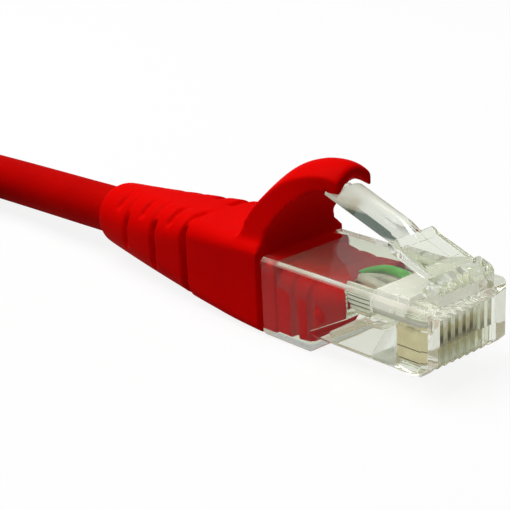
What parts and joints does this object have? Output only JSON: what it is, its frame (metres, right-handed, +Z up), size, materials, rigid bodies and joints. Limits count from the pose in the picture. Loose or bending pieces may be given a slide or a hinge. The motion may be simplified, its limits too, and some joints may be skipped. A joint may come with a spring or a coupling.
{
  "type": "ethernet patch cable",
  "caption": "Round network patch cord in a tied coil, with a clear modular plug and a red snagless boot at both ends.",
  "frame": {"origin": "bottom centre of plug A with its boot, on the surface that the cable lies on", "axes": "+X is the way plug A goes into its socket, +Z is up, on the latch side, +Y is to the left of the plug"},
  "size_m": [0.1425, 0.0856, 0.0178],
  "materials": {
    "clear_plastic": "clear polished polycarbonate",
    "milky_plastic": "slightly milky clear plastic",
    "red_moulding": "satin flexible PVC moulding",
    "cord_jacket": "satin PVC cord jacket",
    "gold_contact": "thin gold plating",
    "wire_white": "satin insulation",
    "wire_orange": "satin insulation",
    "wire_blue": "satin insulation",
    "wire_green": "satin insulation",
    "wire_brown": "satin insulation",
    "black_strap": "matte woven-look strap"
  },
  "bodies": {
    "cable": {"plug_housing_a": "clear_plastic", "wire_guide_a": "milky_plastic", "inner_mould_a": "red_moulding", "boot_a": "red_moulding", "plug_housing_b": "clear_plastic", "wire_guide_b": "milky_plastic", "inner_mould_b": "red_moulding", "boot_b": "red_moulding", "contact_a_1": "gold_contact", "contact_a_2": "gold_contact", "contact_a_3": "gold_contact", "contact_a_4": "gold_contact", "contact_a_5": "gold_contact", "contact_a_6": "gold_contact", "contact_a_7": "gold_contact", "contact_a_8": "gold_contact", "contact_b_1": "gold_contact", "contact_b_2": "gold_contact", "contact_b_3": "gold_contact", "contact_b_4": "gold_contact", "contact_b_5": "gold_contact", "contact_b_6": "gold_contact", "contact_b_7": "gold_contact", "contact_b_8": "gold_contact", "wire_a_1": "wire_white", "wire_a_2": "wire_orange", "wire_a_3": "wire_white", "wire_a_4": "wire_blue", "wire_a_5": "wire_white", "wire_a_6": "wire_green", "wire_a_7": "wire_white", "wire_a_8": "wire_brown", "wire_b_1": "wire_white", "wire_b_2": "wire_orange", "wire_b_3": "wire_white", "wire_b_4": "wire_blue", "wire_b_5": "wire_white", "wire_b_6": "wire_green", "wire_b_7": "wire_white", "wire_b_8": "wire_brown", "cord_tube_a": "cord_jacket", "cord_tube_b": "cord_jacket", "cord_coil": "cord_jacket", "coil_tie": "black_strap"},
    "hood_a": {"hood_a": "red_moulding"},
    "hood_b": {"hood_b": "red_moulding"},
    "latch_a": {"latch_a": "clear_plastic"},
    "latch_b": {"latch_b": "clear_plastic"}
  },
  "joints": [
    {"name": "hood_a_flex", "type": "hinge", "parent": "cable", "child": "hood_a", "pos_m": [0.00505, 0, 0.0111], "axis": [0, 1, 0], "range_deg": [0, 22], "stiffness_Nm_per_rad": 0.005},
    {"name": "latch_a_flex", "type": "hinge", "parent": "cable", "child": "latch_a", "pos_m": [0.02382, 0, 0.00975], "axis": [0, -1, 0], "range_deg": [0, 16], "stiffness_Nm_per_rad": 0.001},
    {"name": "hood_b_flex", "type": "hinge", "parent": "cable", "child": "hood_b", "pos_m": [-0.0059, -0.0734, 0.0111], "axis": [0, 1, 0], "range_deg": [0, 22], "stiffness_Nm_per_rad": 0.005},
    {"name": "latch_b_flex", "type": "hinge", "parent": "cable", "child": "latch_b", "pos_m": [0.01287, -0.0734, 0.00975], "axis": [0, -1, 0], "range_deg": [0, 16], "stiffness_Nm_per_rad": 0.001}
  ],
  "couplings": [
    {"joint": "latch_a_flex", "follows": "hood_a_flex", "ratio": 0.6},
    {"joint": "latch_b_flex", "follows": "hood_b_flex", "ratio": 0.6}
  ]
}
